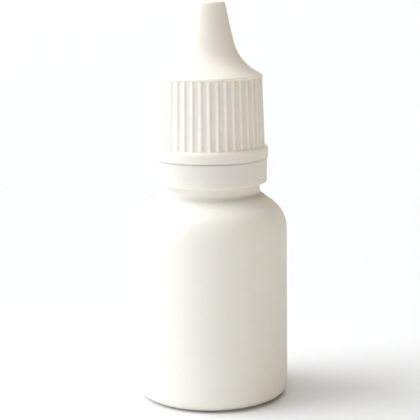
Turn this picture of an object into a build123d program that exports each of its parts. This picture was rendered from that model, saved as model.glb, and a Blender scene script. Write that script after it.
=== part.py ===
from build123d import *
from math import atan2, cos, degrees, hypot, pi, radians, sin, tan
import os

# Dropper bottle of 10 ml nominal capacity, in millimetres.
# Frame: +Z is up along the common axis of all the turned parts, and the origin is the centre
# of the circle that the foot rests on. Every profile is a list of corners (radius, height,
# rounding) in the XZ half plane, turned once round Z.

# Whole bottle
BODY_R = 12.0                 # outside of the squeeze body
TOTAL_H = 62.2                # foot to the top of the cap's nose
WALL = 1.0                    # blown wall of the body, shoulder and base

# Squeeze body, shoulder and neck
FOOT_IN_R = 9.0               # inner edge of the flat foot ring
PUSH_UP = 0.7                 # rise of the base panel inside the foot ring
BASE_ROUND = 2.0
SHOULDER_SLOPE = 37.1         # degrees above the horizontal, on the cone below the neck
SHOULDER_CORNER_Z = 29.39     # height where the cone would meet the straight side
SHOULDER_ROUND = 5.3
COLLAR_R = 7.8                # plain neck that shows below the tamper ring
BEAD_R = 8.4                  # retaining bead that the tamper ring is caught under
BEAD_LOW_Z = 35.45
BEAD_TOP_Z = 36.1
CORE_R = 6.5                  # neck under its thread
CORE_LOW_Z = 37.5
RIM_Z = 48.6                  # top of the neck
BORE_R = 5.0                  # neck bore, which takes the dropper plug
BORE_LOW_Z = 38.2
THROAT_R = 6.3                # wider throat behind the collar and the retaining bead

# Screw thread, right-handed, shared by neck and cap
PITCH = 3.0
NECK_CREST_R = 7.2
NECK_THREAD_Z = 41.3          # middle of the ridge where it starts
NECK_TURNS = 1.6
CAP_ROOT_R = 7.45             # smooth wall inside the cap's skirt
CAP_CREST_R = 6.75
CAP_THREAD_Z = NECK_THREAD_Z - 0.5 * PITCH
CAP_TURNS = 1.5
RIDGE_BASE_W = 1.3            # width of a ridge where it leaves its wall
RIDGE_CREST_W = 0.6
RIDGE_BURIED = 0.2            # how far the ridge's foot runs into its wall
FADE_ANGLE = 45.0             # each end of a ridge sinks into its wall over this turn
SECTION_STEP = 15.0           # turn from one ridge section to the next

# Dropper plug
PLUG_LOW_Z = 43.0
PLUG_SKIRT_R = 4.97
PLUG_BEAD_R = 5.05            # two sealing beads, pressed into the bore
PLUG_BEAD_ZS = (44.6, 46.6)
PLUG_HOLE_R = 4.15
FLANGE_R = 6.3
FLANGE_TOP_Z = 49.6
NOZZLE_FOOT_R = 4.6
NOZZLE_TIP_R = 1.6
NOZZLE_TOP_Z = 59.9
ORIFICE_R = 0.45              # drip hole
ORIFICE_MOUTH_R = 0.8         # countersink that the drop forms in

# Screw cap
CAP_LOW_Z = 38.1
CAP_MOUTH_R = 8.0
CAP_BEAD_R = 9.15             # plain bead round the lower edge of the cap
CAP_BEAD_TOP_Z = 39.9
SKIRT_LOW_R = 8.42            # floor of the grooves between the ribs, at the bead
SKIRT_HIGH_R = 8.1            # the same at the cap's shoulder
CAP_EDGE_R = 8.32
CAP_EDGE_Z = 50.6             # underside of the shoulder's rim, where the grooves end
CAP_SHOULDER_Z = 50.95
CAP_SHOULDER_SLOPE = 28.0     # degrees above the horizontal
NOSE_TIP_R = 2.6
NOSE_TAPER = 12.2             # degrees from the axis
NOSE_FLARE = 7.3              # hollow curve between shoulder and nose
CAP_WALL = 1.1
CAVITY_FLARE = 6.5
CAVITY_TOP_Z = 60.9
LAND_IN_R = 5.5               # sealing ring that presses on the plug's flange
LAND_OUT_R = 6.1
LAND_LOW_Z = 49.65
LAND_HIGH_Z = 52.0            # buried in the cap's wall
PIN_R = 0.38                  # pin that closes the drip hole
PIN_LOW_Z = 58.5
RIB_COUNT = 40
RIB_ROUND = 0.33              # radius of a rib's round back
RIB_STAND = 0.2               # how far a rib stands out of the groove floor
RIB_LOW_Z = 39.4              # buried in the bead
RIB_HIGH_Z = 50.72            # buried in the shoulder's rim

# Tamper ring and its bridges
RING_LOW_Z = 34.2
RING_TOP_Z = 37.97
RING_LOW_R = 8.92
RING_TOP_R = 9.02
RING_IN_R = 8.55
LIP_R = 8.12                  # inner lip, smaller than the retaining bead
LIP_TOP_Z = 35.15
BRIDGE_COUNT = 10
BRIDGE_R = 8.78
BRIDGE_WIDE = 0.5
BRIDGE_THICK = 0.3
BRIDGE_HIGH = 0.1


def outline(corners):
    """Closed face in the XZ plane through corners of (radius, height, rounding)."""
    edges = []
    tangents = []
    count = len(corners)
    for i, (r, z, rounding) in enumerate(corners):
        before = corners[i - 1]
        after = corners[(i + 1) % count]
        if not rounding:
            tangents.append(((r, z), (r, z)))
            continue
        into = (before[0] - r, before[1] - z)
        out = (after[0] - r, after[1] - z)
        into_len = hypot(*into)
        out_len = hypot(*out)
        into = (into[0] / into_len, into[1] / into_len)
        out = (out[0] / out_len, out[1] / out_len)
        half = 0.5 * abs(atan2(into[0] * out[1] - into[1] * out[0],
                               into[0] * out[0] + into[1] * out[1]))
        reach = rounding / tan(half)
        start = (r + into[0] * reach, z + into[1] * reach)
        end = (r + out[0] * reach, z + out[1] * reach)
        along = (into[0] + out[0], into[1] + out[1])
        depth = (rounding / sin(half) - rounding) / hypot(*along)
        middle = (r + along[0] * depth, z + along[1] * depth)
        edges.append(ThreePointArc(flat(start), flat(middle), flat(end)))
        tangents.append((start, end))
    for i in range(count):
        start = tangents[i - 1][1]
        end = tangents[i][0]
        if hypot(end[0] - start[0], end[1] - start[1]) > 1e-6:
            edges.append(Line(flat(start), flat(end)))
    return make_face(Curve() + edges)


def flat(point):
    """Point of the XZ plane for a (radius, height) pair."""
    return (point[0], 0, point[1])


def turned(corners):
    """Solid of revolution about Z."""
    return revolve(outline(corners), axis=Axis.Z)


def thread_ridge(wall_r, crest_r, start_z, turns):
    """Helical ridge that stands from wall_r to crest_r and sinks into the wall at both ends."""
    inward = 1 if crest_r < wall_r else -1
    buried_r = wall_r + inward * RIDGE_BURIED
    steps = round(turns * 360 / SECTION_STEP)
    sections = []
    for i in range(steps + 1):
        angle = i * SECTION_STEP
        to_end = min(angle, steps * SECTION_STEP - angle)
        full = min(1.0, to_end / FADE_ANGLE)
        height = (crest_r - wall_r) * (sin(0.5 * pi * full) * 1.1 - 0.1)
        z = start_z + PITCH * angle / 360
        corners = [
            (buried_r, z - 0.5 * RIDGE_BASE_W),
            (wall_r + height, z - 0.5 * RIDGE_CREST_W),
            (wall_r + height, z + 0.5 * RIDGE_CREST_W),
            (buried_r, z + 0.5 * RIDGE_BASE_W),
        ]
        face = make_face(Polyline(*[flat(c) for c in corners], close=True))
        sections.append(Rot(0, 0, angle) * face)
    return loft(sections)


def shoulder_height(r, drop=0.0):
    """Height of the body's shoulder cone at radius r, or of a cone drop mm under it."""
    slope = tan(radians(SHOULDER_SLOPE))
    return SHOULDER_CORNER_Z + (BODY_R - r) * slope - drop / cos(radians(SHOULDER_SLOPE))


def make_bottle():
    """Blow-moulded body, shoulder and threaded neck, hollow from the floor to the rim."""
    inner_r = BODY_R - WALL
    shell = turned([
        (0, PUSH_UP, 0),
        (FOOT_IN_R - 1.5, PUSH_UP, 1.5),
        (FOOT_IN_R, 0, 0.5),
        (BODY_R, 0, BASE_ROUND),
        (BODY_R, SHOULDER_CORNER_Z, SHOULDER_ROUND),
        (COLLAR_R, shoulder_height(COLLAR_R), 0.7),
        (COLLAR_R, BEAD_LOW_Z - 0.1, 0),
        (BEAD_R, BEAD_LOW_Z, 0.12),
        (BEAD_R, BEAD_TOP_Z, 0.4),
        (CORE_R + 0.7, CORE_LOW_Z, 0.3),
        (CORE_R, CORE_LOW_Z, 0.3),
        (CORE_R, RIM_Z, 0.3),
        (BORE_R, RIM_Z, 0.2),
        (BORE_R, BORE_LOW_Z, 1.0),
        (THROAT_R, BORE_LOW_Z - 1.8, 1.0),
        (THROAT_R, shoulder_height(THROAT_R, WALL), 1.0),
        (inner_r, shoulder_height(inner_r, WALL), SHOULDER_ROUND - WALL),
        (inner_r, WALL, BASE_ROUND - 0.3),
        (FOOT_IN_R + 0.3, WALL, 0.5),
        (FOOT_IN_R - 1.3, PUSH_UP + WALL, 1.0),
        (0, PUSH_UP + WALL, 0),
    ])
    return shell + thread_ridge(CORE_R, NECK_CREST_R, NECK_THREAD_Z, NECK_TURNS)


def make_dropper_plug():
    """Insert pressed into the neck: beaded skirt, flange on the rim and a drip nozzle."""
    plug = turned([
        (PLUG_HOLE_R, PLUG_LOW_Z, 0),
        (PLUG_SKIRT_R, PLUG_LOW_Z, 0.3),
        (PLUG_SKIRT_R, RIM_Z, 0),
        (FLANGE_R, RIM_Z, 0.2),
        (FLANGE_R, FLANGE_TOP_Z, 0.3),
        (NOZZLE_FOOT_R, FLANGE_TOP_Z, 0.3),
        (2.3, 53.6, 3.0),
        (NOZZLE_TIP_R, NOZZLE_TOP_Z, 0.4),
        (ORIFICE_MOUTH_R, NOZZLE_TOP_Z, 0.1),
        (ORIFICE_R, NOZZLE_TOP_Z - 0.6, 0),
        (ORIFICE_R, 54.4, 0),
        (1.2, 52.8, 0.5),
        (PLUG_HOLE_R, 48.6, 0.8),
    ])
    for z in PLUG_BEAD_ZS:
        plug += turned([
            (PLUG_SKIRT_R - 0.2, z - 0.45, 0),
            (PLUG_BEAD_R, z, 0.15),
            (PLUG_SKIRT_R - 0.2, z + 0.45, 0),
        ])
    return plug


def cap_outer_r(z):
    """Radius of the nose's taper at height z."""
    return NOSE_TIP_R + (TOTAL_H - z) * tan(radians(NOSE_TAPER))


def flare_corner(offset):
    """Where the cap's shoulder line and nose line meet, both moved inwards by offset."""
    rise = tan(radians(CAP_SHOULDER_SLOPE))
    taper = tan(radians(NOSE_TAPER))
    edge_z = CAP_SHOULDER_Z - offset / cos(radians(CAP_SHOULDER_SLOPE))
    tip_r = NOSE_TIP_R - offset / cos(radians(NOSE_TAPER))
    r = (tip_r + (TOTAL_H - edge_z - CAP_EDGE_R * rise) * taper) / (1 - rise * taper)
    return r, edge_z + (CAP_EDGE_R - r) * rise


def cap_rib():
    """One rib along +X: a round bar that lies in the skirt's taper."""
    high = RIB_HIGH_Z - RIB_LOW_Z
    lean = (SKIRT_LOW_R - SKIRT_HIGH_R) / (CAP_EDGE_Z - CAP_BEAD_TOP_Z)
    sunk = RIB_ROUND - RIB_STAND
    low_r = SKIRT_LOW_R + lean * (CAP_BEAD_TOP_Z - RIB_LOW_Z) - sunk
    bar = Cylinder(RIB_ROUND, high * hypot(1, lean), align=(Align.CENTER, Align.CENTER, Align.MIN))
    return Pos(low_r, 0, RIB_LOW_Z) * Rot(0, -degrees(atan2(lean, 1)), 0) * bar


def make_cap():
    """Ribbed screw cap with a pointed hollow nose, internal thread, sealing ring and pin."""
    flare_r, flare_z = flare_corner(0)
    hollow_r, hollow_z = flare_corner(CAP_WALL)
    cavity_tip_r = cap_outer_r(CAVITY_TOP_Z) - CAP_WALL / cos(radians(NOSE_TAPER))
    hollow_edge_z = hollow_z - (CAP_ROOT_R - hollow_r) * tan(radians(CAP_SHOULDER_SLOPE))
    cap = turned([
        (0, CAP_LOW_Z, 0),
        (CAP_BEAD_R, CAP_LOW_Z, 0.25),
        (CAP_BEAD_R, CAP_BEAD_TOP_Z, 0.5),
        (SKIRT_LOW_R, CAP_BEAD_TOP_Z, 0.2),
        (SKIRT_HIGH_R, CAP_EDGE_Z, 0),
        (CAP_EDGE_R, CAP_EDGE_Z, 0.05),
        (CAP_EDGE_R, CAP_SHOULDER_Z, 0.35),
        (flare_r, flare_z, NOSE_FLARE),
        (NOSE_TIP_R, TOTAL_H, 0.35),
        (0, TOTAL_H, 0),
    ])
    for i in range(RIB_COUNT):
        cap += Rot(0, 0, i * 360 / RIB_COUNT) * cap_rib()
    cap -= turned([
        (0, CAP_LOW_Z - 1, 0),
        (CAP_MOUTH_R, CAP_LOW_Z - 1, 0),
        (CAP_MOUTH_R, CAP_LOW_Z + 0.7, 0),
        (CAP_ROOT_R, CAP_LOW_Z + 1.2, 0),
        (CAP_ROOT_R, hollow_edge_z, 0.4),
        (hollow_r, hollow_z, CAVITY_FLARE),
        (cavity_tip_r, CAVITY_TOP_Z, 0.3),
        (0, CAVITY_TOP_Z, 0),
    ])
    cap += turned([
        (LAND_IN_R, LAND_LOW_Z, 0.15),
        (LAND_OUT_R, LAND_LOW_Z, 0.15),
        (LAND_OUT_R, LAND_HIGH_Z, 0),
        (LAND_IN_R, LAND_HIGH_Z, 0),
    ])
    cap += turned([
        (0, PIN_LOW_Z, 0),
        (PIN_R, PIN_LOW_Z, 0.15),
        (PIN_R, CAVITY_TOP_Z - 0.6, 0),
        (PIN_R + 0.4, CAVITY_TOP_Z + 0.2, 0),
        (0, CAVITY_TOP_Z + 0.2, 0),
    ])
    return cap + thread_ridge(CAP_ROOT_R, CAP_CREST_R, CAP_THREAD_Z, CAP_TURNS)


def make_tamper_ring():
    """Band below the cap, held down by its inner lip under the neck's retaining bead."""
    return turned([
        (LIP_R, RING_LOW_Z, 0.15),
        (RING_LOW_R, RING_LOW_Z, 0.3),
        (RING_TOP_R, RING_TOP_Z, 0.12),
        (RING_IN_R, RING_TOP_Z, 0.12),
        (RING_IN_R, LIP_TOP_Z + 0.3, 0),
        (LIP_R, LIP_TOP_Z, 0.15),
    ])


def make_tamper_bridges():
    """Small frangible bridges on the ring's top edge, which break when the cap is first turned."""
    bridge = Box(BRIDGE_THICK, BRIDGE_WIDE, BRIDGE_HIGH, align=(Align.CENTER, Align.CENTER, Align.MIN))
    bridge = Pos(BRIDGE_R, 0, RING_TOP_Z) * bridge
    return Compound(children=[Rot(0, 0, i * 360 / BRIDGE_COUNT) * bridge for i in range(BRIDGE_COUNT)])


PARTS = {
    "bottle": make_bottle,
    "dropper_plug": make_dropper_plug,
    "cap": make_cap,
    "tamper_ring": make_tamper_ring,
    "tamper_bridges": make_tamper_bridges,
}

os.makedirs("parts", exist_ok=True)
for node, make in PARTS.items():
    solid = make()
    export_step(solid, f"parts/{node}.step")
    print(node, "volume", round(solid.volume, 1), "mm3", "solids", len(solid.solids()))
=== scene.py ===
# %% [markdown]
# # A squeeze dropper bottle
# This lesson dresses a small plastic dropper bottle: a blown bottle with a threaded neck, a drip
# nozzle pressed into it, a screw cap with a ribbed grip and a pointed nose, and a tamper ring
# held to the cap by tiny bridges. Nearly every piece is round, because the real ones come out of
# turned moulds, so most of the lesson is about lathe work: an outline, spun round the upright axis.
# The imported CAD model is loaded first. Every piece made here is put where that model says.

# %% Load the frame
import bpy
import bmesh
from math import acos, atan2, ceil, cos, hypot, pi, radians, sin, tan
from mathutils import Matrix, Vector


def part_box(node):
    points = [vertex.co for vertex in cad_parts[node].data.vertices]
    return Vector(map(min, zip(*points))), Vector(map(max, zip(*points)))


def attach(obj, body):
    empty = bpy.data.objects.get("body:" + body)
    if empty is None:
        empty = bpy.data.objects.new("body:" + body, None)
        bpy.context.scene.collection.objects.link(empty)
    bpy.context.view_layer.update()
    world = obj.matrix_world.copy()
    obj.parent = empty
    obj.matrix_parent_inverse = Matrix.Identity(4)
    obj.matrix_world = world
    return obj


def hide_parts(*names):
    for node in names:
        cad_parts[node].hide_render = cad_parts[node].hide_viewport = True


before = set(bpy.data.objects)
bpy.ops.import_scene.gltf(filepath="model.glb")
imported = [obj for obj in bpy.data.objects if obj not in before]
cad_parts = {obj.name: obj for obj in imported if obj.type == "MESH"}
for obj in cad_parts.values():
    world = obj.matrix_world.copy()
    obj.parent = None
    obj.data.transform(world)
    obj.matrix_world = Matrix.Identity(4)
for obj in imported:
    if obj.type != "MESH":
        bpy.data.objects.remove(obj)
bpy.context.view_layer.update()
MM = 0.001

# %% [markdown]
# Heights and outer radii are read from the CAD pieces, so the looks can't drift from the design.
# Only the small details that a box can't tell, such as roundings, are given as numbers here.
# All lengths in this lesson are in millimetres until a mesh is made, because that is how a
# bottle maker talks. The last step into metres is one scale in the function that makes a mesh.

# %% Read the main sizes from the frame
_, bottle_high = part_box("bottle")
plug_low, plug_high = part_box("dropper_plug")
cap_low, cap_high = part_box("cap")
ring_low, ring_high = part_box("tamper_ring")
_, bridge_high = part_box("tamper_bridges")

BODY_R = bottle_high.x / MM
RIM_Z = bottle_high.z / MM
PLUG_LOW_Z = plug_low.z / MM
NOZZLE_TOP_Z = plug_high.z / MM
FLANGE_R = plug_high.x / MM
CAP_LOW_Z = cap_low.z / MM
TIP_Z = cap_high.z / MM
BEAD_R = cap_high.x / MM
RING_LOW_Z = ring_low.z / MM
RING_TOP_Z = ring_high.z / MM
RING_R = ring_high.x / MM
BRIDGE_TOP_Z = bridge_high.z / MM
print("body radius", round(BODY_R, 2), "rim", round(RIM_Z, 2), "tip", round(TIP_Z, 2))

# %% [markdown]
# ## Outlines
# A turned part is drawn as half a section: corners given as (radius, height, rounding). A mould
# maker breaks every edge with a small radius, because plastic won't fill a sharp corner and a
# steel mould can't release one. So each corner here gets its own arc. Extra points are added just
# beside each arc. They keep the smooth shading inside the arc and leave the long faces flat.


# %% Turn corners into a smooth outline
CHORD_ERROR = 0.005  # mm between an arc and the straight edges that stand for it
WIDEST_STEP = radians(30)
SUPPORT = 0.07       # mm from the end of an arc to the row that holds the flat shading
SHORTEST = 4 * SUPPORT  # mm, a straight stretch under this gets no such rows


def along(a, b, distance):
    """Point at that distance from a towards b."""
    length = hypot(b[0] - a[0], b[1] - a[1])
    share = distance / length
    return (a[0] + (b[0] - a[0]) * share, a[1] + (b[1] - a[1]) * share)


def arc_points(before, corner, after, rounding):
    """Points of the arc that rounds a corner, from its first tangent point to its second."""
    u = along(corner, before, 1.0)
    v = along(corner, after, 1.0)
    u = (u[0] - corner[0], u[1] - corner[1])
    v = (v[0] - corner[0], v[1] - corner[1])
    between = atan2(abs(u[0] * v[1] - u[1] * v[0]), u[0] * v[0] + u[1] * v[1])
    half = between / 2
    middle = (u[0] + v[0], u[1] + v[1])
    reach = rounding / sin(half) / hypot(*middle)
    centre = (corner[0] + middle[0] * reach, corner[1] + middle[1] * reach)
    start = along(corner, before, rounding / tan(half))
    swing = pi - between
    turn = 1 if (u[0] * v[1] - u[1] * v[0]) < 0 else -1
    first = atan2(start[1] - centre[1], start[0] - centre[0])
    step = min(WIDEST_STEP, 2 * acos(1 - CHORD_ERROR / rounding))
    count = max(2, ceil(swing / step))
    angles = [first + turn * swing * i / count for i in range(count + 1)]
    return [(centre[0] + rounding * cos(a), centre[1] + rounding * sin(a)) for a in angles]


def outline(corners, closed):
    """Points of an outline through rounded corners, with support rows beside every arc."""
    runs = []
    for i, (r, z, rounding) in enumerate(corners):
        inner = closed or 0 < i < len(corners) - 1
        if rounding and inner:
            before = corners[i - 1]
            after = corners[(i + 1) % len(corners)]
            runs.append(arc_points(before, (r, z), after, rounding))
        else:
            runs.append([(r, z)])
    points = []
    for i, run in enumerate(runs):
        if i or closed:
            points += supports(runs[i - 1][-1], run[0])
        points += run
    if closed:
        points.append(points[0])
    return points


def supports(a, b):
    """Rows just inside the two ends of a straight stretch that is long enough for them."""
    if hypot(b[0] - a[0], b[1] - a[1]) < SHORTEST:
        return []
    return [along(a, b, SUPPORT), along(b, a, SUPPORT)]


# %% [markdown]
# ## One helper for node trees
# Geometry trees and material trees are both built from nodes, so one small function serves both.
# It adds a node, sets its properties, and fills its inputs with plain values or with sockets of
# other nodes. Reading such a line is like reading one box of the node editor.


# %% Add a node
def add_node(tree, kind, wires=(), **settings):
    """Adds one node. settings are its properties. wires fill its inputs, by name or in order,
    with values, sockets or nodes, where a node stands for its first output."""
    node = tree.nodes.new(kind)
    for name, value in settings.items():
        setattr(node, name, value)
    for key, value in (wires.items() if isinstance(wires, dict) else enumerate(wires)):
        if isinstance(value, bpy.types.Node):
            value = value.outputs[0]
        if isinstance(value, bpy.types.NodeSocket):
            tree.links.new(value, node.inputs[key])
        else:
            node.inputs[key].default_value = value
    return node


def new_tree(name, inputs):
    """Geometry tree with a geometry input and output and the named inputs, in that order."""
    tree = bpy.data.node_groups.new(name, "GeometryNodeTree")
    tree.interface.new_socket("Geometry", in_out="INPUT", socket_type="NodeSocketGeometry")
    tree.interface.new_socket("Geometry", in_out="OUTPUT", socket_type="NodeSocketGeometry")
    for label, kind, value in inputs:
        socket = tree.interface.new_socket(label, in_out="INPUT", socket_type="NodeSocket" + kind)
        if value is not None:
            socket.default_value = value
    return tree


MATH = "ShaderNodeMath"  # shader and geometry trees share the one Math node

# %% [markdown]
# ## The lathe
# Blender has a Screw modifier and a Spin tool, and either could turn an outline. A Geometry Nodes
# lathe is used instead because the same tree can also raise ridges as it turns: the grip ribs of
# the cap, or the two fine seams that a split mould leaves on the bottle. Each ridge is the back of
# a round bar, sunk so far into the wall that it stands out by Ridge Stand, and a smooth maximum
# gives it a soft foot. Each point of the outline carries a number called relief, which is 1 where
# the ridges stand at full height and 0 where the part is plain. The columns of the mesh crowd
# towards the ridges, so that a narrow ridge gets several columns without a huge mesh.


# %% Build the lathe tree
SEWING_REACH = 0.001 * MM  # points of the first and last column that are nearer become one


def lathe_tree():
    """Turns the outline in the input mesh round Z, with ridges where its relief is above 0."""
    tree = new_tree("lathe", [
        ("Segments", "Int", None),
        ("Ridges", "Int", 2),
        ("Ridge Round", "Float", 0.3 * MM),
        ("Ridge Stand", "Float", 0.0),
        ("Ridge Foot", "Float", 0.1 * MM),
        ("Crowding", "Float", 0.0),
        ("Material", "Material", None),
    ])
    given = add_node(tree, "NodeGroupInput").outputs

    # One grid point for each point of the outline in each column round the turn
    rows = add_node(tree, "GeometryNodeAttributeDomainSize", {"Geometry": given["Geometry"]},
                    component="MESH").outputs["Point Count"]
    columns = add_node(tree, MATH, (given["Segments"], 1.0), operation="ADD")
    grid = add_node(tree, "GeometryNodeMeshGrid", {"Vertices X": columns, "Vertices Y": rows})
    index = add_node(tree, "GeometryNodeInputIndex")
    row = add_node(tree, MATH, (index, rows), operation="MODULO")
    whole = add_node(tree, MATH, (index, rows), operation="DIVIDE")
    column = add_node(tree, MATH, (whole,), operation="FLOOR")

    # Turn counted in ridges, crowded towards each whole number, where a ridge has its crest
    share = add_node(tree, MATH, (column, given["Segments"]), operation="DIVIDE")
    periods = add_node(tree, MATH, (share, given["Ridges"]), operation="MULTIPLY")
    phase = add_node(tree, MATH, (periods, 2 * pi), operation="MULTIPLY")
    wave = add_node(tree, MATH, (phase,), operation="SINE")
    pull = add_node(tree, MATH, (given["Crowding"], 2 * pi), operation="DIVIDE")
    shift = add_node(tree, MATH, (wave, pull), operation="MULTIPLY")
    crowded = add_node(tree, MATH, (periods, shift), operation="SUBTRACT")
    radians_each = add_node(tree, MATH, (2 * pi, given["Ridges"]), operation="DIVIDE")
    angle = add_node(tree, MATH, (crowded, radians_each), operation="MULTIPLY")

    # Radius, height and relief come from the outline's own points
    place = add_node(tree, "GeometryNodeInputPosition")
    point = add_node(tree, "GeometryNodeSampleIndex", {
        "Geometry": given["Geometry"], "Value": place, "Index": row},
        data_type="FLOAT_VECTOR", domain="POINT")
    stored = add_node(tree, "GeometryNodeInputNamedAttribute", {"Name": "relief"},
                      data_type="FLOAT")
    relief = add_node(tree, "GeometryNodeSampleIndex", {
        "Geometry": given["Geometry"], "Value": stored, "Index": row},
        data_type="FLOAT", domain="POINT")
    section = add_node(tree, "ShaderNodeSeparateXYZ", (point,)).outputs

    # Distance round the wall from the nearest crest, and the height of the bar's back there
    nearest = add_node(tree, MATH, (crowded,), operation="ROUND")
    off_crest = add_node(tree, MATH, (crowded, nearest), operation="SUBTRACT")
    off_angle = add_node(tree, MATH, (off_crest, radians_each), operation="MULTIPLY")
    away = add_node(tree, MATH, (off_angle, section["X"]), operation="MULTIPLY")
    away_squared = add_node(tree, MATH, (away, away), operation="MULTIPLY")
    round_squared = add_node(tree, MATH, (given["Ridge Round"], 2.0), operation="POWER")
    back_squared = add_node(tree, MATH, (round_squared, away_squared), operation="SUBTRACT")
    back_or_none = add_node(tree, MATH, (back_squared, 0.0), operation="MAXIMUM")
    back = add_node(tree, MATH, (back_or_none,), operation="SQRT")
    sunk = add_node(tree, MATH, (given["Ridge Round"], given["Ridge Stand"]), operation="SUBTRACT")
    above = add_node(tree, MATH, (back, sunk), operation="SUBTRACT")
    lift = add_node(tree, MATH, (above, 0.0, given["Ridge Foot"]), operation="SMOOTH_MAX")
    radius = add_node(tree, MATH, (lift, relief, section["X"]), operation="MULTIPLY_ADD")

    # Radius and angle give the point's place, and the last column is sewn to the first
    cosine = add_node(tree, MATH, (angle,), operation="COSINE")
    sine = add_node(tree, MATH, (angle,), operation="SINE")
    x = add_node(tree, MATH, (radius, cosine), operation="MULTIPLY")
    y = add_node(tree, MATH, (radius, sine), operation="MULTIPLY")
    spot = add_node(tree, "ShaderNodeCombineXYZ", (x, y, section["Z"]))
    turned = add_node(tree, "GeometryNodeSetPosition", {"Geometry": grid, "Position": spot})
    sealed = add_node(tree, "GeometryNodeMergeByDistance", {
        "Geometry": turned, "Distance": SEWING_REACH})
    finish_tree(tree, sealed, given["Material"])
    return tree


def finish_tree(tree, geometry, material):
    """Ends a geometry tree: smooth faces, real geometry in place of instances, and a material."""
    smooth = add_node(tree, "GeometryNodeSetShadeSmooth", {0: geometry, "Shade Smooth": True})
    real = add_node(tree, "GeometryNodeRealizeInstances", (smooth,))
    painted = add_node(tree, "GeometryNodeSetMaterial", {"Geometry": real, "Material": material})
    add_node(tree, "NodeGroupOutput", (painted,))


LATHE = lathe_tree()
print("lathe tree has", len(LATHE.nodes), "nodes")

# %% [markdown]
# A modifier keeps its inputs under the sockets' identifiers, not under the names that the editor
# shows. So one function looks the identifiers up, sets them before anything is evaluated, reads
# the result back as a plain mesh and throws the modifier's object away.


# %% Run a tree and keep its mesh
def grown(name, start_mesh, tree, **inputs):
    """Plain object made by running a geometry tree on start_mesh with the inputs, by label."""
    seed = bpy.data.objects.new(name + "_seed", start_mesh)
    bpy.context.scene.collection.objects.link(seed)
    modifier = seed.modifiers.new("grow", "NODES")
    modifier.node_group = tree
    labels = {label.replace(" ", "_").lower(): label for label in
              (item.name for item in tree.interface.items_tree if item.in_out == "INPUT")}
    for key, value in inputs.items():
        modifier[tree.interface.items_tree[labels[key]].identifier] = value
    graph = bpy.context.evaluated_depsgraph_get()
    mesh = bpy.data.meshes.new_from_object(seed.evaluated_get(graph))
    bpy.data.objects.remove(seed)
    mesh.name = name
    piece = bpy.data.objects.new(name, mesh)
    bpy.context.scene.collection.objects.link(piece)
    return piece


def outline_mesh(points, relief=lambda r, z: 0.0):
    """Mesh of single points, in metres, that carries each point's relief for the lathe."""
    mesh = bpy.data.meshes.new("outline")
    mesh.from_pydata([(r * MM, 0, z * MM) for r, z in points], [], [])
    attribute = mesh.attributes.new("relief", "FLOAT", "POINT")
    attribute.data.foreach_set("value", [relief(r, z) for r, z in points])
    return mesh

# %% [markdown]
# ## The screw threads
# A thread is a ridge that climbs one pitch a turn. It is right-handed when it climbs as it goes
# anticlockwise, seen from above. A Curve to Mesh node sweeps a section along a helix and caps
# both ends. The section shrinks towards each end of the helix, so the ridge sinks into its wall,
# as a moulded thread does to let the nut start. A negative height makes a ridge that stands
# inwards. That mirrors the section and turns its faces inside out, so those faces are flipped.


# %% Build the thread tree
END_SHARE = 0.12             # of the section's size that is left at the very ends
RIDGE_ROUNDING = 0.12 * MM
ROUNDING_STEPS = 3


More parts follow.
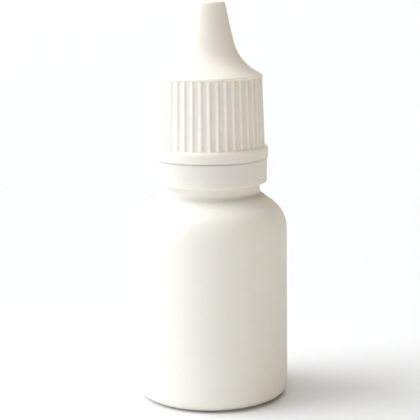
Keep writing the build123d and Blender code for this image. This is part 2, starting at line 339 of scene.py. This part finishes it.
def thread_tree():
    """Ridge with a given section that climbs a helix from angle 0."""
    tree = new_tree("thread", [
        ("Wall Radius", "Float", None),
        ("Ridge Height", "Float", None),
        ("Foot Width", "Float", 1.3 * MM),
        ("Crest Width", "Float", 0.6 * MM),
        ("Buried", "Float", 0.2 * MM),
        ("Start Height", "Float", None),
        ("Pitch", "Float", None),
        ("Turns", "Float", None),
        ("Fade Turns", "Float", 0.125),
        ("Steps", "Int", None),
        ("Material", "Material", None),
    ])
    given = add_node(tree, "NodeGroupInput").outputs

    # Points evenly along the turns, each at its angle and its height on the helix
    count = add_node(tree, MATH, (given["Steps"], 1.0), operation="ADD")
    line = add_node(tree, "GeometryNodeMeshLine", {"Count": count})
    index = add_node(tree, "GeometryNodeInputIndex")
    share = add_node(tree, MATH, (index, given["Steps"]), operation="DIVIDE")
    turned = add_node(tree, MATH, (share, given["Turns"]), operation="MULTIPLY")
    angle = add_node(tree, MATH, (turned, 2 * pi), operation="MULTIPLY")
    cosine = add_node(tree, MATH, (angle,), operation="COSINE")
    sine = add_node(tree, MATH, (angle,), operation="SINE")
    outward = add_node(tree, MATH, (given["Ridge Height"],), operation="SIGN")
    sunk = add_node(tree, MATH, (outward, given["Buried"]), operation="MULTIPLY")
    foot_r = add_node(tree, MATH, (given["Wall Radius"], sunk), operation="SUBTRACT")
    x = add_node(tree, MATH, (foot_r, cosine), operation="MULTIPLY")
    y = add_node(tree, MATH, (foot_r, sine), operation="MULTIPLY")
    z = add_node(tree, MATH, (turned, given["Pitch"], given["Start Height"]),
                 operation="MULTIPLY_ADD")
    spot = add_node(tree, "ShaderNodeCombineXYZ", (x, y, z))
    helix = add_node(tree, "GeometryNodeSetPosition", {"Geometry": line, "Position": spot})
    curve = add_node(tree, "GeometryNodeMeshToCurve", (helix,))
    upright = add_node(tree, "GeometryNodeSetCurveNormal", (curve,), mode="Z_UP")

    # Share of the section that is left near the ends
    to_go = add_node(tree, MATH, (given["Turns"], turned), operation="SUBTRACT")
    to_end = add_node(tree, MATH, (turned, to_go), operation="MINIMUM")
    size = add_node(tree, "ShaderNodeMapRange", {
        "Value": to_end, "From Min": 0.0, "From Max": given["Fade Turns"],
        "To Min": END_SHARE, "To Max": 1.0}, interpolation_type="SMOOTHSTEP")

    # Trapezium section: its foot lies on the helix and its crest at the ridge's height
    height = add_node(tree, MATH, (given["Ridge Height"], sunk), operation="ADD")
    corners = {}
    for number, reach, width, side in (
            (1, 0.0, "Foot Width", -0.5), (2, height, "Crest Width", -0.5),
            (3, height, "Crest Width", 0.5), (4, 0.0, "Foot Width", 0.5)):
        half = add_node(tree, MATH, (given[width], side), operation="MULTIPLY")
        corners[f"Point {number}"] = add_node(tree, "ShaderNodeCombineXYZ", (reach, half))
    section = add_node(tree, "GeometryNodeCurvePrimitiveQuadrilateral", corners, mode="POINTS")
    round_edge = add_node(tree, "GeometryNodeFilletCurve", {
        "Curve": section, "Radius": RIDGE_ROUNDING, "Count": ROUNDING_STEPS}, mode="POLY")
    swept = add_node(tree, "GeometryNodeCurveToMesh", {
        "Curve": upright, "Profile Curve": round_edge, "Scale": size, "Fill Caps": True})
    inward = add_node(tree, MATH, (given["Ridge Height"], 0.0), operation="LESS_THAN")
    outer_side = add_node(tree, "GeometryNodeFlipFaces", {"Mesh": swept, "Selection": inward})
    finish_tree(tree, outer_side, given["Material"])
    return tree


THREAD = thread_tree()
print("thread tree has", len(THREAD.nodes), "nodes")

# %% [markdown]
# ## Colours and plastics
# Colours are written as the hex values that a paint program shows, and turned to linear light here.
# All three plastics are polyethylene. It is never quite opaque: light goes in a little way, spreads
# and comes out again, which softens every shadow edge and is why such a bottle looks like wax and
# not like chalk. So each material has subsurface scattering, with red travelling furthest.
# The patterns are laid out in Object coordinates, in metres, and their scales come from real sizes.


# %% Colour and the parts that the plastics share
POLYETHYLENE_IOR = 1.51
SCATTER_RGB = (1.0, 0.82, 0.62)  # how far each colour travels, as a share of the scatter length
NOISE_SPREAD = (0.3, 0.7)        # nearly all values of a noise texture lie between these
POLISH_SPREAD = 0.04             # how far the roughness strays to either side


def linear(hex_value):
    """Linear RGBA of an sRGB hex colour such as 'F4F1EA'."""
    channels = [int(hex_value[i:i + 2], 16) / 255 for i in (0, 2, 4)]
    lit = [c / 12.92 if c < 0.04045 else ((c + 0.055) / 1.055) ** 2.4 for c in channels]
    return (*lit, 1.0)


def cycles_per_metre(size_mm):
    """Scale of a noise texture whose blotches are about size_mm across."""
    return 1 / (size_mm * MM)


def plastic(name, light, dark, blotch_mm, grain_mm, grain_depth_mm, wave_mm, wave_depth_mm,
            roughness, scatter_mm, subsurface):
    """A polyethylene. light and dark are the ends of its faint colour variation."""
    material = bpy.data.materials.new(name)
    material.use_nodes = True
    tree = material.node_tree
    shader = tree.nodes["Principled BSDF"]
    where = add_node(tree, "ShaderNodeTexCoord").outputs["Object"]
    blotches = add_node(tree, "ShaderNodeTexNoise", {
        "Vector": where, "Scale": cycles_per_metre(blotch_mm), "Detail": 3.0, "Roughness": 0.5})
    tint = add_node(tree, "ShaderNodeMix", {
        "Factor": blotches.outputs["Fac"], "A": linear(light), "B": linear(dark)},
        data_type="RGBA")
    polish = add_node(tree, "ShaderNodeMapRange", {
        "Value": blotches.outputs["Fac"],
        "From Min": NOISE_SPREAD[0], "From Max": NOISE_SPREAD[1],
        "To Min": roughness - POLISH_SPREAD, "To Max": roughness + POLISH_SPREAD})
    grain = add_node(tree, "ShaderNodeTexNoise", {
        "Vector": where, "Scale": cycles_per_metre(grain_mm), "Detail": 2.0, "Roughness": 0.6})
    fine = add_node(tree, "ShaderNodeBump", {
        "Height": grain.outputs["Fac"], "Distance": grain_depth_mm * MM, "Strength": 1.0})
    waves = add_node(tree, "ShaderNodeTexNoise", {
        "Vector": where, "Scale": cycles_per_metre(wave_mm), "Detail": 1.0})
    broad = add_node(tree, "ShaderNodeBump", {
        "Height": waves.outputs["Fac"], "Distance": wave_depth_mm * MM, "Strength": 1.0,
        "Normal": fine.outputs["Normal"]})
    tree.links.new(tint.outputs["Result"], shader.inputs["Base Color"])
    tree.links.new(polish.outputs["Result"], shader.inputs["Roughness"])
    tree.links.new(broad.outputs["Normal"], shader.inputs["Normal"])
    shader.inputs["IOR"].default_value = POLYETHYLENE_IOR
    shader.inputs["Subsurface Weight"].default_value = subsurface
    shader.inputs["Subsurface Radius"].default_value = SCATTER_RGB
    shader.inputs["Subsurface Scale"].default_value = scatter_mm * MM
    return material


# %% [markdown]
# The squeeze body is low-density polyethylene, blown into a sand-blasted mould. The blasting leaves
# a satin skin, and the blown wall is a little uneven, which bends its highlights into slow waves.
# The cap, ring and bridges are high-density polyethylene, injected into a spark-eroded steel mould:
# a finer, tighter grain, a flatter surface and a slightly creamier white.
# The nozzle is low-density polyethylene with no white pigment in it, so it is milky and glossier.

# %% Make the three plastics
blown_ldpe = plastic(
    "white_ldpe_blow_moulded", light="F6F0E5", dark="F1EBDF", blotch_mm=7.0,
    grain_mm=0.22, grain_depth_mm=0.006, wave_mm=9.0, wave_depth_mm=0.10,
    roughness=0.46, scatter_mm=1.5, subsurface=0.6)
moulded_hdpe = plastic(
    "white_hdpe_injection_moulded", light="F3ECE1", dark="EDE6DA", blotch_mm=5.0,
    grain_mm=0.16, grain_depth_mm=0.004, wave_mm=7.0, wave_depth_mm=0.03,
    roughness=0.42, scatter_mm=1.2, subsurface=0.5)
natural_ldpe = plastic(
    "natural_ldpe_injection_moulded", light="F3F2EC", dark="E9EAE4", blotch_mm=3.0,
    grain_mm=0.14, grain_depth_mm=0.002, wave_mm=5.0, wave_depth_mm=0.03,
    roughness=0.32, scatter_mm=1.8, subsurface=0.7)
print("plastics:", ", ".join(m.name for m in (blown_ldpe, moulded_hdpe, natural_ldpe)))

# %% [markdown]
# ## Helpers that join shells and put a piece in service
# A thread is its own closed shell, whose foot is buried in the wall, so it is joined to the wall's
# object. The joining is done on meshes, so that no operator depends on what is selected.


# %% Join, measure and attach pieces
def joined(name, *parts):
    """One object with the meshes of all the parts, which are removed."""
    rows = bmesh.new()
    for part in parts:
        rows.from_mesh(part.data)
    mesh = parts[0].data
    rows.to_mesh(mesh)
    rows.free()
    for part in parts[1:]:
        bpy.data.objects.remove(part)
    parts[0].name = name
    mesh.name = name
    return parts[0]


def report(piece):
    """Prints triangles, edges that lack two faces, and the volume, which must be positive."""
    rows = bmesh.new()
    rows.from_mesh(piece.data)
    triangles = sum(len(face.verts) - 2 for face in rows.faces)
    open_edges = sum(not edge.is_manifold for edge in rows.edges)
    volume = rows.calc_volume(signed=True) / MM ** 3
    rows.free()
    print(f"{piece.name}: {triangles} triangles, {open_edges} open edges, {volume:.0f} mm3")


def put_in_service(piece, body, slot, *nodes):
    """The piece moves with a body and stands for CAD nodes, which are hidden. slot is not used."""
    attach(piece, body)
    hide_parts(*nodes)
    report(piece)

# %% [markdown]
# ## The squeeze body
# The bottle is one blown piece, from the pushed-up base to the rim of the neck and back down the
# inside. Its outline starts at the axis under the base and ends at the axis on the inner floor, so
# turning it gives one closed wall with no seam to mend. A split mould leaves a fine line down each
# side, where its halves met. The real line stands out by a few hundredths of a millimetre. It is
# drawn here a little wider than it is, or it would vanish, and it ends on the shoulder.

# %% Outline of the bottle
WALL = 1.0
FOOT_IN_R = 9.0
PUSH_UP = 0.7
COLLAR_R = 7.8
RETAINER_R = 8.4
RETAINER_LOW_Z = 35.45
RETAINER_TOP_Z = 36.1
CORE_R = 6.5
CORE_LOW_Z = 37.5
BORE_R = 5.0
BORE_LOW_Z = 38.2
THROAT_R = 6.3
SHOULDER_SLOPE = radians(37.1)
SHOULDER_CORNER_Z = 29.39
SHOULDER_ROUND = 5.3
SHOULDER_IN_ROUND = 4.3
NECK_FOOT_R = CORE_R + 0.7
THROAT_TOP_Z = BORE_LOW_Z - 1.8
SEAM_LOW_Z = 1.2
SEAM_FADE = 1.5


def shoulder_z(r, drop=0.0):
    """Height of the shoulder cone at radius r, or of a cone drop mm under it."""
    return SHOULDER_CORNER_Z + (BODY_R - r) * tan(SHOULDER_SLOPE) - drop / cos(SHOULDER_SLOPE)


bottle_corners = [
    (0, PUSH_UP, 0),
    (FOOT_IN_R - 1.5, PUSH_UP, 1.5),
    (FOOT_IN_R, 0, 0.5),
    (BODY_R, 0, 2.0),
    (BODY_R, SHOULDER_CORNER_Z, SHOULDER_ROUND),
    (COLLAR_R, shoulder_z(COLLAR_R), 0.7),
    (COLLAR_R, RETAINER_LOW_Z - 0.1, 0),
    (RETAINER_R, RETAINER_LOW_Z, 0.12),
    (RETAINER_R, RETAINER_TOP_Z, 0.4),
    (NECK_FOOT_R, CORE_LOW_Z, 0.3),
    (CORE_R, CORE_LOW_Z, 0.3),
    (CORE_R, RIM_Z, 0.3),
    (BORE_R, RIM_Z, 0.2),
    (BORE_R, BORE_LOW_Z, 1.0),
    (THROAT_R, THROAT_TOP_Z, 1.0),
    (THROAT_R, shoulder_z(THROAT_R, WALL), 1.0),
    (BODY_R - WALL, shoulder_z(BODY_R - WALL, WALL), SHOULDER_IN_ROUND),
    (BODY_R - WALL, WALL, 1.7),
    (FOOT_IN_R + 0.3, WALL, 0.5),
    (FOOT_IN_R - 1.3, PUSH_UP + WALL, 1.0),
    (0, PUSH_UP + WALL, 0),
]


def seam_relief(r, z):
    """The mould seam fades in above the foot and runs up the outside as far as the shoulder."""
    outside = r > BODY_R - WALL + 0.1 and z < SHOULDER_CORNER_Z + 1.5
    return min(1.0, max(0.0, (z - SEAM_LOW_Z) / SEAM_FADE)) if outside else 0.0


bottle_shell = grown(
    "bottle_shell", outline_mesh(outline(bottle_corners, closed=False), seam_relief), LATHE,
    segments=256, ridges=2, ridge_round=0.16 * MM, ridge_stand=0.03 * MM, ridge_foot=0.02 * MM,
    crowding=0.9, material=blown_ldpe)

# %% [markdown]
# The neck thread starts a few millimetres above the tamper ring and makes a little over one and a
# half turns, so a person needs about two turns of the hand to take the cap off.

# %% Neck thread
PITCH = 3.0
NECK_THREAD_Z = 41.3
neck_thread = grown(
    "neck_thread", bpy.data.meshes.new("nothing"), THREAD,
    wall_radius=CORE_R * MM, ridge_height=0.7 * MM, start_height=NECK_THREAD_Z * MM,
    pitch=PITCH * MM, turns=1.6, steps=150, material=blown_ldpe)
bottle_shell = joined("bottle_shell", bottle_shell, neck_thread)
put_in_service(bottle_shell, "bottle_body", "bottle_plastic", "bottle")

# %% [markdown]
# ## The drip nozzle
# A soft insert pressed into the neck. Two beads round its skirt seal against the bore, a flange
# stops it on the rim, and a fine hole through the nozzle sets the size of a drop. Its outline is a
# closed loop, because the hole goes right through, so turning it gives a ring-shaped solid.

# %% Outline of the nozzle
SKIRT_R = 4.97
SEAL_R = 5.05
SEAL_ZS = (44.6, 46.6)
FLANGE_TOP_Z = RIM_Z + 1.0
PLUG_BORE_R = 4.15
PLUG_BORE_TOP_Z = 48.6
NOZZLE_FOOT_R = 4.6
NOZZLE_WAIST_R = 2.3
NOZZLE_WAIST_Z = 53.6
NOZZLE_TIP_R = 1.6
HOLE_R = 0.45
HOLE_LOW_Z = 54.4
HOLE_FUNNEL_R = 1.2
HOLE_FUNNEL_Z = 52.8
HOLE_MOUTH_R = 0.8
HOLE_MOUTH_DEEP = 0.6

nozzle_corners = [(PLUG_BORE_R, PLUG_LOW_Z, 0.1), (SKIRT_R, PLUG_LOW_Z, 0.3)]
for z in SEAL_ZS:
    nozzle_corners += [(SKIRT_R, z - 0.2, 0), (SEAL_R, z, 0.1), (SKIRT_R, z + 0.2, 0)]
nozzle_corners += [
    (SKIRT_R, RIM_Z, 0),
    (FLANGE_R, RIM_Z, 0.2),
    (FLANGE_R, FLANGE_TOP_Z, 0.3),
    (NOZZLE_FOOT_R, FLANGE_TOP_Z, 0.3),
    (NOZZLE_WAIST_R, NOZZLE_WAIST_Z, 3.0),
    (NOZZLE_TIP_R, NOZZLE_TOP_Z, 0.4),
    (HOLE_MOUTH_R, NOZZLE_TOP_Z, 0.1),
    (HOLE_R, NOZZLE_TOP_Z - HOLE_MOUTH_DEEP, 0),
    (HOLE_R, HOLE_LOW_Z, 0),
    (HOLE_FUNNEL_R, HOLE_FUNNEL_Z, 0.5),
    (PLUG_BORE_R, PLUG_BORE_TOP_Z, 0.8),
]
drip_nozzle = grown(
    "drip_nozzle", outline_mesh(outline(nozzle_corners, closed=True)), LATHE,
    segments=160, material=natural_ldpe)
put_in_service(drip_nozzle, "bottle_body", "plug_plastic", "dropper_plug")

# %% [markdown]
# ## The cap
# One moulded piece, inside and out. Its outline starts at the tip of the pin that plugs the drip
# hole, runs down the hollow nose, over the sealing ring and down the skirt, turns the lower edge,
# and climbs the bead, the ribbed skirt, the shoulder and the nose to the axis again. The forty ribs
# rise from the skirt between the bead and the overhanging rim, and their height falls away along
# the fillet at their feet exactly as fast as the fillet comes out to meet them.

# %% Outline of the cap
CAP_WALL = 1.1
ROOT_R = 7.45
MOUTH_R = 8.0
MOUTH_DEEP = 0.7
MOUTH_CONE_TOP = 1.2
BEAD_TOP_Z = 39.9
SKIRT_LOW_R = 8.42
SKIRT_HIGH_R = 8.1
RIM_EDGE_R = 8.32
RIM_EDGE_Z = 50.6
SHOULDER_Z = 50.95
CAP_SLOPE = radians(28.0)
TIP_R = 2.6
TAPER = radians(12.2)
PIN_R = 0.38
PIN_LOW_Z = 58.5
CAVITY_TOP_Z = 60.9
SEAT_IN_R = 5.5
SEAT_OUT_R = 6.1
SEAT_LOW_Z = FLANGE_TOP_Z + 0.05
RIB_COUNT = 40
RIB_STAND = 0.2
COLUMNS_A_RIB = 14
NOSE_FLARE = 7.3
CAVITY_FLARE = 6.5


def flare_corner(inset):
    """Where the cap's shoulder line and nose line meet, both moved inwards by inset."""
    rise = tan(CAP_SLOPE)
    taper = tan(TAPER)
    edge_z = SHOULDER_Z - inset / cos(CAP_SLOPE)
    tip_r = TIP_R - inset / cos(TAPER)
    r = (tip_r + (TIP_Z - edge_z - RIM_EDGE_R * rise) * taper) / (1 - rise * taper)
    return r, edge_z + (RIM_EDGE_R - r) * rise


def height_at(points, r):
    """Height of a falling outline at radius r, which it passes once."""
    for (r0, z0), (r1, z1) in zip(points, points[1:]):
        if r0 <= r <= r1:
            return z0 + (z1 - z0) * (r - r0) / (r1 - r0)


hollow_r, hollow_z = flare_corner(CAP_WALL)
hollow_edge_z = hollow_z - (ROOT_R - hollow_r) * tan(CAP_SLOPE)
hollow_tip_r = TIP_R + (TIP_Z - CAVITY_TOP_Z) * tan(TAPER) - CAP_WALL / cos(TAPER)
ceiling = outline([
    (hollow_tip_r, CAVITY_TOP_Z, 0),
    (hollow_r, hollow_z, CAVITY_FLARE),
    (ROOT_R, hollow_edge_z, 0),
], closed=False)

inside = [(0, PIN_LOW_Z, 0), (PIN_R, PIN_LOW_Z, 0.12), (PIN_R, CAVITY_TOP_Z - 0.6, 0)]
inside += [(PIN_R + 0.3, CAVITY_TOP_Z, 0), (hollow_tip_r, CAVITY_TOP_Z, 0.25)]
inside += [(r, z, 0) for r, z in ceiling[1:] if r < SEAT_IN_R - 0.05]
inside += [
    (SEAT_IN_R, height_at(ceiling, SEAT_IN_R), 0),
    (SEAT_IN_R, SEAT_LOW_Z, 0.15),
    (SEAT_OUT_R, SEAT_LOW_Z, 0.15),
    (SEAT_OUT_R, height_at(ceiling, SEAT_OUT_R), 0),
    (ROOT_R, hollow_edge_z, 0.4),
    (ROOT_R, CAP_LOW_Z + MOUTH_CONE_TOP, 0.15),
    (MOUTH_R, CAP_LOW_Z + MOUTH_DEEP, 0.15),
    (MOUTH_R, CAP_LOW_Z, 0.12),
]
outside = [
    (BEAD_R, CAP_LOW_Z, 0.15),
    (BEAD_R, BEAD_TOP_Z, 0.5),
    (SKIRT_LOW_R, BEAD_TOP_Z, 0.2),
    (SKIRT_HIGH_R, RIM_EDGE_Z, 0),
    (RIM_EDGE_R, RIM_EDGE_Z, 0.05),
    (RIM_EDGE_R, SHOULDER_Z, 0.4),
    (*flare_corner(0), NOSE_FLARE),
    (TIP_R, TIP_Z, 0.35),
    (0, TIP_Z, 0),
]


def rib_relief(r, z):
    """1 on the skirt, falling to 0 where the fillet over the bead has come out as far as a rib."""
    if not BEAD_TOP_Z - 0.01 <= z <= RIM_EDGE_Z + 0.001 or r < SKIRT_HIGH_R - 0.01:
        return 0.0
    up = (z - BEAD_TOP_Z) / (RIM_EDGE_Z - BEAD_TOP_Z)
    floor_r = SKIRT_LOW_R + (SKIRT_HIGH_R - SKIRT_LOW_R) * up
    return min(1.0, max(0.0, (floor_r + RIB_STAND - r) / RIB_STAND))


cap_shell = grown(
    "cap_shell", outline_mesh(outline(inside + outside, closed=False), rib_relief), LATHE,
    segments=RIB_COUNT * COLUMNS_A_RIB, ridges=RIB_COUNT, ridge_round=0.33 * MM,
    ridge_stand=RIB_STAND * MM, ridge_foot=0.08 * MM, crowding=0.25, material=moulded_hdpe)

# %% [markdown]
# The cap's own thread is the same ridge turned inside out: it stands inwards from the skirt, half a
# pitch below the neck's, so the two pass each other with a little play.

# %% Cap thread
cap_thread = grown(
    "cap_thread", bpy.data.meshes.new("nothing"), THREAD,
    wall_radius=ROOT_R * MM, ridge_height=-0.7 * MM, start_height=(NECK_THREAD_Z - PITCH / 2) * MM,
    pitch=PITCH * MM, turns=1.5, steps=150, material=moulded_hdpe)
cap_shell = joined("cap_shell", cap_shell, cap_thread)
put_in_service(cap_shell, "cap_body", "cap_plastic", "cap")

# %% [markdown]
# ## The tamper ring and its bridges
# The ring is moulded with the cap. It hangs under the cap by tiny bridges, and its inner lip is
# caught under the bead on the neck, so the first turn tears the bridges and the ring stays behind.
# A low step inside the ring's top edge nearly closes the gap, as the thin web at a cut does, so
# the gap reads as a soft line and not as a black slot.

# %% Turn the ring
RING_IN_R = 8.55
LIP_R = 8.12
LIP_TOP_Z = 35.15
STEP_IN = 0.09
STEP_UP = 0.8 * (BRIDGE_TOP_Z - RING_TOP_Z)
ring_corners = [
    (LIP_R, RING_LOW_Z, 0.15),
    (RING_R - 0.1, RING_LOW_Z, 0.3),
    (RING_R, RING_TOP_Z, 0.1),
    (RING_R - STEP_IN, RING_TOP_Z, 0),
    (RING_R - STEP_IN - 0.05, RING_TOP_Z + STEP_UP, 0.02),
    (RING_IN_R, RING_TOP_Z + STEP_UP, 0.02),
    (RING_IN_R, LIP_TOP_Z + 0.3, 0.1),
    (LIP_R, LIP_TOP_Z, 0.15),
]
tamper_ring = grown(
    "tamper_ring_band", outline_mesh(outline(ring_corners, closed=True)), LATHE,
    segments=256, material=moulded_hdpe)
put_in_service(tamper_ring, "ring_body", "cap_plastic", "tamper_ring")

# %% [markdown]
# The bridges are a clear case for instances: one small block, copied to evenly spaced points on a
# circle and turned to face outwards. Each block is pinched at its top, where it is meant to tear.


# %% Build the bridge tree and place the bridges
def bridge_tree():
    """Blocks with a pinched top, evenly spaced round a circle on top of the ring."""
    tree = new_tree("bridges", [
        ("Count", "Int", None),
        ("Circle Radius", "Float", None),
        ("Low Height", "Float", None),
        ("Size", "Vector", None),
        ("Pinch", "Float", None),
        ("Material", "Material", None),
    ])
    given = add_node(tree, "NodeGroupInput").outputs

    # One block: raised to stand on the ring, with its upper corners drawn in
    block = add_node(tree, "GeometryNodeMeshCube", {"Size": given["Size"]})
    place = add_node(tree, "GeometryNodeInputPosition")
    corner = add_node(tree, "ShaderNodeSeparateXYZ", (place,)).outputs
    whole = add_node(tree, "ShaderNodeSeparateXYZ", (given["Size"],)).outputs
    at_top = add_node(tree, MATH, (corner["Z"], 0.0), operation="GREATER_THAN")
    share = add_node(tree, "ShaderNodeMapRange", {
        "Value": at_top, "To Min": 1.0, "To Max": given["Pinch"]})
    x = add_node(tree, MATH, (corner["X"], share), operation="MULTIPLY")
    y = add_node(tree, MATH, (corner["Y"], share), operation="MULTIPLY")
    z = add_node(tree, MATH, (whole["Z"], 0.5, corner["Z"]), operation="MULTIPLY_ADD")
    pinched = add_node(tree, "ShaderNodeCombineXYZ", (x, y, z))
    shaped = add_node(tree, "GeometryNodeSetPosition", {"Geometry": block, "Position": pinched})

    # The circle they stand on, and the turn that makes each one face outwards
    circle = add_node(tree, "GeometryNodeMeshCircle", {
        "Vertices": given["Count"], "Radius": given["Circle Radius"]})
    lift = add_node(tree, "ShaderNodeCombineXYZ", {"Z": given["Low Height"]})
    raised = add_node(tree, "GeometryNodeSetPosition", {"Geometry": circle, "Offset": lift})
    index = add_node(tree, "GeometryNodeInputIndex")
    step = add_node(tree, MATH, (2 * pi, given["Count"]), operation="DIVIDE")
    turn = add_node(tree, MATH, (index, step), operation="MULTIPLY")
    facing = add_node(tree, "ShaderNodeCombineXYZ", {"Z": turn})
    placed = add_node(tree, "GeometryNodeInstanceOnPoints", {
        "Points": raised, "Instance": shaped, "Rotation": facing})
    finish_tree(tree, placed, given["Material"])
    return tree


BRIDGE_DEEP = 0.3
BRIDGE_WIDE = 0.5
bridge_size = (BRIDGE_DEEP * MM, BRIDGE_WIDE * MM, (BRIDGE_TOP_Z - RING_TOP_Z) * MM)
bridges = grown(
    "tamper_bridge_blocks", bpy.data.meshes.new("nothing"), bridge_tree(),
    count=10, circle_radius=8.9 * MM, low_height=RING_TOP_Z * MM, size=bridge_size, pinch=0.6,
    material=moulded_hdpe)
put_in_service(bridges, "ring_body", "cap_plastic", "tamper_bridges")

# %% [markdown]
# ## Floor and light
# The floor is a large sheet of paper, a hair under the bottle so that the two faces don't share a
# plane. Thick white paper lets light creep a millimetre or two under an edge, which keeps the line
# where the bottle stands on it soft and grey, so the sheet scatters light below its surface too.

# %% Lay the floor
FLOOR_HALF = 3.0  # metres
FLOOR_Z = -0.05 * MM
PAPER_SCATTER = 1.5 * MM
floor_mesh = bpy.data.meshes.new("floor")
floor_mesh.from_pydata(
    [(x * FLOOR_HALF, y * FLOOR_HALF, FLOOR_Z) for x, y in ((-1, -1), (1, -1), (1, 1), (-1, 1))],
    [], [(0, 1, 2, 3)])
floor = bpy.data.objects.new("floor", floor_mesh)
bpy.context.scene.collection.objects.link(floor)
paper = bpy.data.materials.new("matt_white_paper")
paper.use_nodes = True
sheet = paper.node_tree.nodes["Principled BSDF"]
sheet.inputs["Base Color"].default_value = linear("E9E8E6")
sheet.inputs["Roughness"].default_value = 0.9
sheet.inputs["Specular IOR Level"].default_value = 0.1
sheet.inputs["Subsurface Weight"].default_value = 0.7
sheet.inputs["Subsurface Radius"].default_value = (1.0, 0.9, 0.8)
sheet.inputs["Subsurface Scale"].default_value = PAPER_SCATTER
floor_mesh.materials.append(paper)
print("floor", 2 * FLOOR_HALF, "m across")

# %% [markdown]
# White on white only reads through its shading, so the main light has to come from one side. A
# wide soft light from the left blows the lit side out to paper white, and a second one overhead
# keeps the floor white. Both are suns with a wide angle, which stand for very large panels far
# away: their brightness is the same all over the floor, so the sheet stays white to its far edge.

# %% Hang the lights
# name, turn from the camera's side (left is negative), rise, angle across, strength, colour
LIGHTS = (
    ("window_light", -90, 42, 50, 2.42, "F4F9FF"),
    ("ceiling_light", 0, 90, 60, 1.90, "FFFFFF"),
)
for name, turn_deg, rise_deg, wide_deg, strength, colour in LIGHTS:
    light = bpy.data.objects.new(name, bpy.data.lights.new(name, "SUN"))
    bpy.context.scene.collection.objects.link(light)
    light.data.angle = radians(wide_deg)
    light.data.energy = strength
    light.data.color = linear(colour)[:3]
    turn, rise = radians(turn_deg), radians(rise_deg)
    towards = Vector((sin(turn) * cos(rise), -cos(turn) * cos(rise), sin(rise)))
    light.rotation_euler = towards.to_track_quat("Z", "Y").to_euler()
    print(name, "stands", rise_deg, "degrees up")

# %% [markdown]
# What is left of the room is a low bright wall on the left and a dimmer, warmer one on the right.
# They tint the two sides of the bottle, and they fade to nothing above, where the panels hang.

# %% Paint the room
WALL_STRENGTH = 3.4
LEFT_WALL = "EDF3FF"
RIGHT_WALL = "857354"
WALL_TURN = (0.34, -0.08)  # sideways part of a unit direction, where right turns into left
WALL_TOP = (0.12, 0.30)    # upward part of a unit direction, where the walls fade out
world = bpy.data.worlds.new("studio")
bpy.context.scene.world = world
world.use_nodes = True
sky = world.node_tree
facing = add_node(sky, "ShaderNodeTexCoord").outputs["Generated"]
direction = add_node(sky, "ShaderNodeSeparateXYZ", (facing,)).outputs
leftness = add_node(sky, "ShaderNodeMapRange", {
    "Value": direction["X"], "From Min": WALL_TURN[0], "From Max": WALL_TURN[1]},
    interpolation_type="SMOOTHSTEP")
wall = add_node(sky, "ShaderNodeMix", {
    "Factor": leftness, "A": linear(RIGHT_WALL), "B": linear(LEFT_WALL)}, data_type="RGBA")
above = add_node(sky, "ShaderNodeMapRange", {
    "Value": direction["Z"], "From Min": WALL_TOP[0], "From Max": WALL_TOP[1]},
    interpolation_type="SMOOTHSTEP")
room = add_node(sky, "ShaderNodeMix", {
    "Factor": above, "A": wall.outputs["Result"], "B": linear("000000")}, data_type="RGBA")
sky.links.new(room.outputs["Result"], sky.nodes["Background"].inputs["Color"])
sky.nodes["Background"].inputs["Strength"].default_value = WALL_STRENGTH
print("room has", len(sky.nodes), "nodes")

# %% [markdown]
# ## Camera
# A long lens from a little above the cap looks slightly down, so the round edges show as shallow
# ellipses and the sides stay nearly parallel. The camera leans a fraction of a degree, as one held
# by hand does. The standard view keeps whites white, where a filmic one would turn them grey.

# %% Set the camera
CAMERA_AT = (-0.00008, -0.220, 0.0692)  # metres
LENS = 121.5
SENSOR_WIDTH = 36.0
NEAREST = 0.01     # metres
LOOK_DOWN = 0.178  # radians
LEAN = -0.0135     # radians
camera = bpy.data.objects.new("camera", bpy.data.cameras.new("camera"))
bpy.context.scene.collection.objects.link(camera)
camera.data.sensor_width = SENSOR_WIDTH
camera.data.lens = LENS
camera.data.clip_start = NEAREST
camera.matrix_world = (
    Matrix.Translation(CAMERA_AT)
    @ Matrix.Rotation(pi / 2 - LOOK_DOWN, 4, "X")
    @ Matrix.Rotation(LEAN, 4, "Z"))
bpy.context.scene.camera = camera
bpy.context.scene.view_settings.view_transform = "Standard"
print("camera at", CAMERA_AT, "with a lens of", LENS, "mm")
